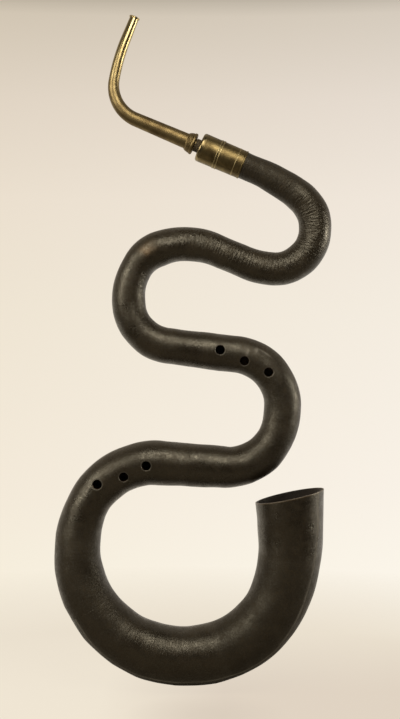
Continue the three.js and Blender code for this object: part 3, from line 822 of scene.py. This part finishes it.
# Worn places and pale scuffs: stretch and share of the way along it, angle in degrees, reach along
# and around, and strength.
WORN_SPOTS = [
    ("left_arch_crown", 0.40, 10, 0.0065, 0.0065, 1.0),
    ("left_arch_crown", 0.30, 22, 0.010, 0.006, 0.5),
    ("left_arch_crown", 0.15, 3, 0.009, 0.004, 0.3),
]
WORN_RIM, RIM_WEAR = 0.0022, 0.6
SCUFF_SPOTS = [
    ("arch_lead", 0.81, 8, 0.010, 0.0011, 0.7),
    ("arch_lead", 0.68, 4, 0.006, 0.0010, 0.5),
    ("right_bend_head", 0.11, -12, 0.0018, 0.0055, 1.0),
    ("right_bend_head", 0.20, -29, 0.0022, 0.0040, 1.0),
    ("right_bend_head", 0.29, -36, 0.0080, 0.0016, 0.9),
    ("bell_ease", 0.89, 46, 0.0040, 0.0030, 0.5),
    ("bell_ease", 0.75, 48, 0.0030, 0.0040, 0.6),
    ("bell_run", 0.80, 47, 0.0090, 0.0030, 0.6),
]
# A painted highlight along the lap's edge, and pale wear round each finger hole: how far off, half
# width, strength.
LAP_PAINTED_HIGHLIGHT = (0.0004, 0.0015, 0.85)
HOLE_TRACE = (0.0006, 0.0012, 0.40)
# Creases: how strong they are all over, how much stronger on the upper third, with its shares at
# the front and for the sine of the angle toward the inside, and by each metre of a ruffle's height.
CREASES = 0.15
UPPER_CREASES = 0.55
UPPER_SHARES = (0.75, 1.1)
RUFFLE_CREASES = 2400
CREASE_FADE = 0.03
# Where hands have rubbed the polish off: stations from and to, and strength. At its ends, and
# toward the back of the tube, it fades over these.
DULL = [
    (LEATHER_START - 0.05, station_on("top_bow", 0.05), 0.85),
    (station_on("middle_run", 0.6), station_on("right_bend_foot", 0.8), 0.35),
    (station_on("bow_fall", 0.05), station_on("bow_fall", 0.9), 0.40),
    (station_on("bow_floor", 0.75), station_on("bell_ease", 0.8), 0.75),
]
DULL_FADE = 0.03
DULL_SPREAD = 3.0


def spots(places, station, phi):
    """The sum of oval bell curves, each as strong as its place says."""
    total = 0 * station * phi
    for name, share, degrees, along, around, strength in places:
        off = (phi - math.radians(degrees)) * leather_outer(station)
        far = ((station - station_on(name, share)) / along) ** 2 + (off / around) ** 2
        total = total + strength * np.exp(-far)
    return total


def leather_wear(station, phi):
    """Leather rubbed through to its brown: the worn spots, and the rim, falling off evenly."""
    rim = np.clip(1 - (body_line.span - station) / WORN_RIM, 0, 1)
    return np.clip(spots(WORN_SPOTS, station, phi) + RIM_WEAR * rim, 0, 1)


def leather_scuff_and_sheen(station, phi):
    """The pale scuffs, a painted highlight in a bell curve along the lap's edge, and a peaked ring of
    wear round each hole.
    """
    off, width, strength = LAP_PAINTED_HIGHLIGHT
    lap = LAP_ANGLES[np.searchsorted(LEATHER_JOINTS, station)]
    total = spots(SCUFF_SPOTS, station, phi) + strength * hump(lap_way(station, phi, lap), off, width)
    off, width, strength = HOLE_TRACE
    for hole in holes:
        beyond = np.hypot(*off_hole(station, phi, hole)) - HOLE_RADIUS - off
        ring = np.clip(1 - np.abs(beyond) / width, 0, 1)
        total = total + strength * ring * (np.cos(phi) > 0)
    return np.clip(total, 0, 1)


def leather_gather(station, phi):
    """How strongly the leather is drawn up in creases: least on the outside of the upper bow."""
    upper = window(station, LEATHER_START - 0.1, station_on("left_arch_crown", 0.5), 0.10)
    at_front, inward = UPPER_SHARES
    total = CREASES + UPPER_CREASES * upper * np.clip(at_front + inward * np.sin(phi), 0, 1)
    for start, end, middle, spread, spacing, height in RUFFLES:
        gathered = window(station, start, end, CREASE_FADE) * hump(phi, middle, 1.5 * spread)
        total = total + RUFFLE_CREASES * height * gathered
    return np.clip(total, 0, 1)


def leather_dull(station, phi):
    """The sum of the dull stretches, each a window along the tube and a bell curve around it."""
    total = 0 * station
    for start, end, strength in DULL:
        place = window(station, start, end, DULL_FADE) * hump(phi, 0, DULL_SPREAD)
        total = total + strength * place
    return np.clip(total, 0, 1)


# The cover's colours, and after each the values at which its pattern starts and is full, with
# its weight there.
HIDE = [
    (0.30, (0.0113, 0.0079, 0.0044)), (0.48, (0.0164, 0.0118, 0.0069)),
    (0.66, (0.0256, 0.0187, 0.0109))]
FADED_HIDE, FADING = (0.036, 0.029, 0.019), 0.1
MOTTLED_HIDE, MOTTLING = (0.035, 0.0263, 0.0160), (0.48, 0.70, 0.0, 0.7)
PITTED_HIDE, PITTING = (0.0062, 0.0044, 0.0027), (0.60, 0.38, 0.0, 0.65)
SCRATCHED_HIDE, SCRATCHING = (0.070, 0.055, 0.040), (0.5, 0.7, 0.0, 0.6)
# Pale scuffed colour; along each lap's edge it is a painted highlight.
SCUFF_AND_SHEEN_HIDE, SCUFF_AND_SHEEN_PATCHING = (0.150, 0.138, 0.118), (0.30, 0.60, 0.5, 1.0)
WORN_HIDE, WEARING = (0.155, 0.105, 0.060), (0.30, 0.62, 0.45, 1.0)
SCRATCH_LEVELS = (0.72, 0.78)
# Roughness: by blotch and by patch, and what a dull stretch adds. Polish: by speck and by patch,
# and what a dull stretch leaves of it.
ROUGHNESS = (0.35, 0.7, 0.27, 0.35)
PATCH_ROUGHNESS = (0.3, 0.7, -0.06, 0.08)
DULL_ROUGHNESS = 0.22
POLISH = (0.36, 0.64, 0.90, 0.42)
PATCH_POLISH = (0.35, 0.65, 1.15, 0.70)
DULL_POLISH = (0.5, 0.85, 1.0, 0.50)
# Its noises: their scale, finer layers and roughness. Creases and scratches are drawn out, with a
# scale around the tube and one along it. Its relief: strength and depth.
BLOTCHES = (24.0, 7, 0.62)
PATCHES = (90.0, 5, 0.6)
SPECKS = (300.0, 3, 0.65)
PITS = (330.0, 4)
PEBBLES = 760.0
CREASE_SCALES = (95, 330)
SCRATCH_SCALES = (900, 60)
SCRATCH_TURN = 0.5
PEBBLE_EDGES = (0.0, 0.12, 0.0, 0.45)
PIT_SHARE = 0.8
GRAIN_RELIEF = (0.4, 0.0003)
CREASE_DEPTH = 0.0016
SCRATCH_RELIEF = (-0.3, 0.0002)
LEATHER_TINT = (1.0, 0.93, 0.78, 1)
LEATHER_IOR = 1.5
tree, shader, leather = finish("leather")
coordinates = node(tree, "TexCoord").outputs
unrolled = coordinates["UV"]
wear, scuff_and_sheen, gather, dull = (
    node(tree, "Attribute", attribute_name=name).outputs["Fac"]
    for name in ("wear", "scuff_and_sheen", "gather", "dull"))
blotch, patch, speck = (
    cloudy(tree, coordinates["Object"], *noise) for noise in (BLOTCHES, PATCHES, SPECKS))
crease = cloudy(tree, drawn_out(tree, unrolled, *CREASE_SCALES), 1.0, 3)
pits = cloudy(tree, unrolled, *PITS)
pebble = node(tree, "TexVoronoi", {"Vector": unrolled, "Scale": PEBBLES}, feature="DISTANCE_TO_EDGE")
scratch_noise = cloudy(tree, drawn_out(tree, unrolled, *SCRATCH_SCALES, SCRATCH_TURN), 1.0, 2)
scratches = stretched(tree, scratch_noise, *SCRATCH_LEVELS)
colour = ramp(tree, blotch, HIDE)
# The pale scuffed colour is real scuffing at its spots and round the holes, and a painted highlight
# along each lap's edge.
for weight, over in (
        (sums(tree, "MULTIPLY", dull, FADING), FADED_HIDE),
        (stretched(tree, patch, *MOTTLING), MOTTLED_HIDE),
        (stretched(tree, speck, *PITTING), PITTED_HIDE),
        (sums(tree, "MULTIPLY", scratches, stretched(tree, patch, *SCRATCHING)), SCRATCHED_HIDE),
        (sums(tree, "MULTIPLY", scuff_and_sheen, stretched(tree, patch, *SCUFF_AND_SHEEN_PATCHING)), SCUFF_AND_SHEEN_HIDE),
        (sums(tree, "MULTIPLY", wear, stretched(tree, patch, *WEARING)), WORN_HIDE)):
    colour = blended(tree, weight, colour, over)
tree.links.new(colour, shader.inputs["Base Color"])
rough = sums(tree, "ADD", stretched(tree, blotch, *ROUGHNESS), stretched(tree, patch, *PATCH_ROUGHNESS))
rough = sums(tree, "ADD", rough, sums(tree, "MULTIPLY", dull, DULL_ROUGHNESS))
tree.links.new(rough, shader.inputs["Roughness"])
polish = sums(tree, "MULTIPLY", stretched(tree, speck, *POLISH), stretched(tree, patch, *PATCH_POLISH))
polish = sums(tree, "MULTIPLY", polish, stretched(tree, dull, *DULL_POLISH))
tree.links.new(polish, shader.inputs["Specular IOR Level"])
shader.inputs["Specular Tint"].default_value = LEATHER_TINT
shader.inputs["IOR"].default_value = LEATHER_IOR
pebbled = stretched(tree, pebble.outputs["Distance"], *PEBBLE_EDGES)
grain = sums(tree, "ADD", pebbled, sums(tree, "MULTIPLY", pits, PIT_SHARE))
creased = raised(tree, crease, gather, CREASE_DEPTH, raised(tree, grain, *GRAIN_RELIEF))
tree.links.new(raised(tree, scratches, *SCRATCH_RELIEF, creased), shader.inputs["Normal"])

for k, (start, end) in enumerate(lengths(LEATHER_START, LEATHER_JOINTS, body_line.span, LEATHER_GAP), 1):
    edges = (LEATHER_EDGE, RIM_EDGE / 2 if k == 6 else LEATHER_EDGE)
    spacing = FINE_STEP if k <= 2 else COARSE_STEP
    stations = np.unique(steps_between(start, end, spacing, *edge_stations(start, end, *edges)))
    lap = LAP_ANGLES[k - 1]
    phi = np.linspace(-math.pi, math.pi, LEATHER_COLUMNS, endpoint=False)
    beside = lap + np.array(BESIDE_LAP)
    phi = np.unique(np.concatenate([phi, beside]))
    s, p = stations[:, None], phi[None, :]
    free = 1 - np.clip(2 * near_holes(s, p, HOLE_FLAT), 0, 1)
    relief = ruffle_relief(s, p) + flat_relief(s, p) + lump_relief(s, p) + lap_relief(s, p, lap)
    relief = relief * free - HOLE_DIP * near_holes(s, p, HOLE_DIP_REACH)
    drawn_in = round_ends(stations, start, end, *edges)[:, None]
    outer = leather_outer(s) + relief - drawn_in
    inner = leather_inner(s) + drawn_in / 2 + 0 * p
    bored = [hole for hole in holes if start < hole[0] < end]
    piece = skin(f"leather_cover_{k}", *tube_wall(
        body_line, stations, phi, outer, inner, True, bored, HOLE_ROLL,
        {"wear": leather_wear, "scuff_and_sheen": leather_scuff_and_sheen, "gather": leather_gather, "dull": leather_dull}))
    piece.data.materials.append(leather)
    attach(piece, "horn")
    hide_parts(f"leather_{k}")

# Ferrule. Sheet brass, seamed into a sleeve over the wood's turned-down end, with a pair of beads
# and a single line rolled into it, a thin ring where the leather starts and a plate over its mouth.
# A thin socket tube, soldered into the plate, lines the bore where the crook's tenon slides.
FERRULE_SIDES = 96
MOUTH_ROUNDING = 0.0036
PLATE_SEAM = 0.00005
BEAD_HEIGHT = 0.0006
BEAD_WIDTH = 0.0026
BEAD_SPACING = 0.004
BEAD_STATION = 0.032
LINE_TO_END = 0.0125
LINE_WIDTH = 0.0014
LINE_HEIGHT = 0.0004
END_RING_WIDTH = 0.0028
END_RING_HEIGHT = 0.0006
# Brass, tarnished and clean, at the rubbed mouth and on the sleeve, with the roughness of each and
# the stations between which one turns into the other.
MOUTH_BRASS = ((0.200, 0.155, 0.080), (0.330, 0.265, 0.150))
SLEEVE_BRASS = ((0.080, 0.057, 0.025), (0.205, 0.155, 0.072))
FERRULE_ROUGHNESS = (0.22, 0.40)
MOUTH_TO_SLEEVE = (0.004, 0.008)
# Lighter metal on the raised lines: rubbed bright, and a painted highlight.
RUBBED_AND_SHEEN_BRASS = (0.35, 0.28, 0.145)
RUBBED_AND_SHEEN_REACH = (0.0004, 0.0011)
CLOUDS = (55.0, 5, 0.6)
TARNISH = (0.36, 0.66)
TARNISH_ROUGHNESS = (0.3, 0.7, -0.04, 0.08)


def turned(line, outline, sides):
    """Points, quads, angles and stations of a closed outline of (station, radius), spun round."""
    at, out = np.array(outline).T
    phi = np.linspace(-math.pi, math.pi, sides, endpoint=False)
    s, p = np.meshgrid(at, phi, indexing="ij")
    points = line.surface(s, p, np.broadcast_to(out[:, None], s.shape)).reshape(-1, 3)
    i, j = np.meshgrid(np.arange(len(outline)), np.arange(sides), indexing="ij")
    m, n = (i + 1) % len(outline), (j + 1) % sides
    quads = np.stack([i * sides + j, i * sides + n, m * sides + n, m * sides + j], -1).reshape(-1, 4)
    return points, quads, p.ravel(), s.ravel()


def rounded(start, end, steps=8):
    """A quarter round that bulges out, from one (station, radius) corner to another."""
    turn = np.linspace(0, math.pi / 2, steps + 1)
    at = start[0] + (end[0] - start[0]) * (1 - np.cos(turn))
    return list(zip(at, start[1] + (end[1] - start[1]) * np.sin(turn)))


def half_round(middle, width, height, base, steps=10):
    """A bead on a base radius: half an ellipse, as wide and as high as given."""
    turn = np.linspace(0, math.pi, steps + 1)
    return list(zip(middle - width / 2 * np.cos(turn), base + height * np.sin(turn)))


def brass(name, root, tip, roughness, span, lines=()):
    """Old brass: satin metal under soft patches of brown tarnish.

    Its pair of colours, tarnished and clean, goes from root to tip over the two stations in span,
    and so does its roughness. Raised lines, at the stations given, get a lighter metal: rubbed
    bright, and a painted highlight.
    """
    tree, shader, made = finish(name)
    shader.inputs["Metallic"].default_value = 1.0
    coordinates = node(tree, "TexCoord").outputs
    cloud = cloudy(tree, coordinates["Object"], *CLOUDS)
    along = node(tree, "SeparateXYZ", {"Vector": coordinates["UV"]}).outputs["Y"]
    toward_tip = stretched(tree, along, *span)
    tarnished, clean = (blended(tree, toward_tip, root[k], tip[k]) for k in (0, 1))
    metal = blended(tree, stretched(tree, cloud, *TARNISH), clean, tarnished)
    # Each raised line gets the lighter metal, partly rubbed bright and partly a painted highlight.
    for station in lines:
        away = sums(tree, "ABSOLUTE", sums(tree, "SUBTRACT", along, station))
        metal = blended(tree, stretched(tree, away, *RUBBED_AND_SHEEN_REACH, 1.0, 0.0), metal, RUBBED_AND_SHEEN_BRASS)
    tree.links.new(metal, shader.inputs["Base Color"])
    rough = stretched(tree, along, *span, *roughness)
    rough = sums(tree, "ADD", stretched(tree, cloud, *TARNISH_ROUGHNESS), rough)
    tree.links.new(rough, shader.inputs["Roughness"])
    return made


def brass_piece(name, line, outline, sides, metal, body, replaced):
    """Turns a closed outline round a line into a piece, and gives it its metal and its place."""
    piece = skin(name, *turned(line, outline, sides))
    piece.data.materials.append(metal)
    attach(piece, body)
    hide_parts(replaced)


def ferrule_piece(name, outline, replaced):
    """A brass piece turned round the mouth of the body."""
    brass_piece(
        name, body_line, outline, FERRULE_SIDES, ferrule_brass, "horn", replaced)


def sleeve_outer(station):
    """A (station, radius) corner on the sleeve's outside."""
    return station, ferrule_outer(station)


sleeve_start = MOUTH_PLATE_DEPTH + PLATE_SEAM
sleeve_end = FERRULE_LENGTH - END_RING_WIDTH - CLEARANCE
socket_outer = SOCKET_RADIUS + SOCKET_WALL
plate_hole = socket_outer + CLEARANCE
line_at = FERRULE_LENGTH - LINE_TO_END
beads_at = [BEAD_STATION + side * BEAD_SPACING / 2 for side in (-1, 1)]
ferrule_brass = brass(
    "ferrule_brass", MOUTH_BRASS, SLEEVE_BRASS, FERRULE_ROUGHNESS, MOUTH_TO_SLEEVE, (*beads_at, line_at))
ferrule_piece("ferrule_plate", [
    *rounded((0, FERRULE_MOUTH_RADIUS - MOUTH_ROUNDING), sleeve_outer(MOUTH_ROUNDING)),
    sleeve_outer(MOUTH_PLATE_DEPTH), (MOUTH_PLATE_DEPTH, plate_hole), (0, plate_hole)],
    "ferrule_mouth_plate")
ferrule_piece("ferrule_tube", [
    sleeve_outer(sleeve_start), *half_round(line_at, LINE_WIDTH, LINE_HEIGHT, ferrule_outer(line_at)),
    sleeve_outer(sleeve_end), (sleeve_end, ferrule_outer(sleeve_end) - FERRULE_WALL),
    (sleeve_start, ferrule_outer(sleeve_start) - FERRULE_WALL)],
    "ferrule_sleeve")
bead_base = ferrule_outer(BEAD_STATION) + CLEARANCE
beads = [spot for at in beads_at for spot in half_round(at, BEAD_WIDTH, BEAD_HEIGHT, bead_base)]
beads += [(beads[k][0], bead_base - CLEARANCE / 2) for k in (-1, 0)]
ferrule_piece("ferrule_beads", beads, "ferrule_bead_ring")
ring_start = sleeve_end + CLEARANCE
ring_middle = (ring_start + FERRULE_LENGTH) / 2
ring_base = ferrule_outer(FERRULE_LENGTH)
ferrule_piece("ferrule_ring", [
    *half_round(ring_middle, END_RING_WIDTH, END_RING_HEIGHT, ring_base),
    (FERRULE_LENGTH, ring_base - FERRULE_WALL), (ring_start, ring_base - FERRULE_WALL)],
    "ferrule_end_ring")
ferrule_piece("socket_lining", [
    (0, socket_outer), (SOCKET_DEPTH, socket_outer), (SOCKET_DEPTH, SOCKET_RADIUS), (0, SOCKET_RADIUS)],
    "socket_tube")

# Crook. One tapered brass tube, drawn and bent cold, with a rolled lip where the mouthpiece goes
# in and a turned collar near its root. Below the collar a plain tenon slides in the socket.
CROOK_SIDES = 72
CROOK_ROOT_RADIUS = 0.0124
CROOK_STRETCHES = [(0.108, 0, 0.0108), (0.056, -77, 0.0084), (0.309, -12, 0.0080), (0.038, 0, 0.0070)]
CROOK_WALL = 0.0008
CROOK_STEP = 0.0025
TIP_RING_WIDTH = 0.0024
TIP_RING_HEIGHT = 0.0012
TIP_RING_FLANK = 0.0003
TENON_LENGTH = 0.034
TENON_RADIUS = 0.0091
TENON_WALL = 0.0007
COLLAR_GAP = 0.0085
COLLAR_WIDTH = 0.0135
COLLAR_RADIUS = 0.017
# The collar's corners, each as a share of its width and of its rise over the foot.
COLLAR_FACE = (0, 0.40)
COLLAR_LIP = (0.17, 1.0)
COLLAR_GROOVE = [(0.26, 0.97), (0.34, 0.84), (0.38, 0.70)]
COLLAR_RIDGES = [(0.48, 0.58), (0.62, 0.44), (0.76, 0.30)]
COLLAR_FOOT = [(0.93, 0.10), (1, 0)]
RIDGE_WIDTH = 0.0019
RIDGE_HEIGHT = 0.0005
HANDLED_BRASS = ((0.110, 0.075, 0.034), (0.215, 0.160, 0.076))
BRIGHT_BRASS = ((0.300, 0.230, 0.105), (0.430, 0.350, 0.185))
CROOK_ROUGHNESS = (0.47, 0.22)
HANDLED_TO_BRIGHT = (0.14, 0.23)
crook_brass = brass("crook_brass", HANDLED_BRASS, BRIGHT_BRASS, CROOK_ROUGHNESS, HANDLED_TO_BRIGHT)
crook_line = BentLine(mouth, MOUTH_HEADING + math.pi, CROOK_ROOT_RADIUS, CROOK_STRETCHES)
collar_end = COLLAR_GAP + COLLAR_WIDTH
tip = crook_line.span


def crook_piece(name, outline, replaced):
    """A brass piece turned round the crook's line, which goes wherever the crook turns."""
    brass_piece(name, crook_line, outline, CROOK_SIDES, crook_brass, "crook", replaced)


def collar_outline():
    """The turned collar, from its face by the gap: lip, groove, three fine ridges and foot."""
    seat = crook_line.radius(collar_end) + CLEARANCE
    foot = seat + CROOK_WALL
    rise = COLLAR_RADIUS - foot

    def corner(along, up):
        """A (station, radius) corner from its two shares."""
        return COLLAR_GAP + COLLAR_WIDTH * along, foot + rise * up

    outline = rounded(corner(*COLLAR_FACE), corner(*COLLAR_LIP), 6)
    outline += [corner(*place) for place in COLLAR_GROOVE]
    for place in COLLAR_RIDGES:
        middle, base = corner(*place)
        outline += half_round(middle, RIDGE_WIDTH, RIDGE_HEIGHT, base, 6)
    outline += [corner(*place) for place in COLLAR_FOOT]
    return outline + [(collar_end, seat), (COLLAR_GAP, seat)]


stations = steps_between(COLLAR_GAP, tip, CROOK_STEP)
tube = list(zip(stations, crook_line.radius(stations)))
tube += [(station, radius - CROOK_WALL) for station, radius in reversed(tube)]
crook_piece("crook_pipe", tube, "crook_tube")
lip_seat = crook_line.radius(tip) + CLEARANCE
lip_base = lip_seat + TIP_RING_FLANK
crook_piece("crook_lip", [
    *half_round(tip - TIP_RING_WIDTH / 2, TIP_RING_WIDTH, TIP_RING_HEIGHT - TIP_RING_FLANK, lip_base),
    (tip, lip_seat), (tip - TIP_RING_WIDTH, lip_seat)],
    "crook_tip_ring")
crook_piece("crook_ring", collar_outline(), "crook_collar")
grip = [crook_line.radius(station) - CROOK_WALL - CLEARANCE for station in (COLLAR_GAP, collar_end)]
tenon_bore = TENON_RADIUS - TENON_WALL
crook_piece("crook_plug", [
    (-TENON_LENGTH, TENON_RADIUS), (COLLAR_GAP, TENON_RADIUS), (COLLAR_GAP, grip[0]),
    (collar_end, grip[1]), (collar_end, tenon_bore), (-TENON_LENGTH, tenon_bore)],
    "crook_tenon")

# Lapping. Waxed thread is wound round the tenon in one close layer, until the crook holds in the
# socket and still turns. It slides with the crook, and the crook turns inside it.
THREAD = 0.0011
THREAD_TURNS = 24
THREAD_STEPS = 40
THREAD_SIDES = 8
THREAD_LAY = 0.06
LAPPING_LENGTH = 0.028
LAPPING_INSET = 0.001
THREAD_DARK = (0.030, 0.021, 0.010)
THREAD_LIGHT = (0.120, 0.086, 0.046)
THREAD_ROUGHNESS = 0.7
THREAD_RELIEF = (0.6, 0.0002)
PLY_SCALE = 160.0


def wound_thread(start):
    """Points, quads, angles and places along the thread of a winding that starts at a station.

    The middle of the thread climbs evenly with the turn, lying on the tenon, and its section is a
    circle. Its two ends are closed by fans of three quads, for which it has eight sides.
    """
    turns = np.linspace(0, THREAD_TURNS, THREAD_TURNS * THREAD_STEPS + 1)
    section = np.linspace(0, 2 * math.pi, THREAD_SIDES, endpoint=False)
    t, q = np.meshgrid(turns, section, indexing="ij")
    station = start + LAPPING_LENGTH * t / THREAD_TURNS + THREAD / 2 * np.sin(q)
    phi = np.mod(2 * math.pi * t + math.pi, 2 * math.pi) - math.pi
    radius = TENON_RADIUS + CLEARANCE + THREAD / 2 * (1 + np.cos(q))
    points = crook_line.surface(station, phi, radius).reshape(-1, 3)
    sides = grid_quads(len(turns), THREAD_SIDES, True)
    first = np.array([[0, 3, 2, 1], [0, 5, 4, 3], [0, 7, 6, 5]])
    last = t.size - THREAD_SIDES + first[:, ::-1]
    return points, np.concatenate([sides, first, last]), phi.ravel(), (t * THREAD_LAY).ravel()


lapping = skin("thread_winding", *wound_thread(COLLAR_GAP - LAPPING_LENGTH - LAPPING_INSET))
tree, shader, thread = finish("waxed_thread")
unrolled = node(tree, "TexCoord").outputs["UV"]
twist = {"Vector": unrolled, "Scale": PLY_SCALE, "Distortion": 1.5}
ply = node(tree, "TexWave", twist, bands_direction="DIAGONAL").outputs["Fac"]
tree.links.new(blended(tree, ply, THREAD_DARK, THREAD_LIGHT), shader.inputs["Base Color"])
shader.inputs["Roughness"].default_value = THREAD_ROUGHNESS
tree.links.new(raised(tree, ply, *THREAD_RELIEF), shader.inputs["Normal"])
lapping.data.materials.append(thread)
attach(lapping, "crook_slide")
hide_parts("tenon_lapping")
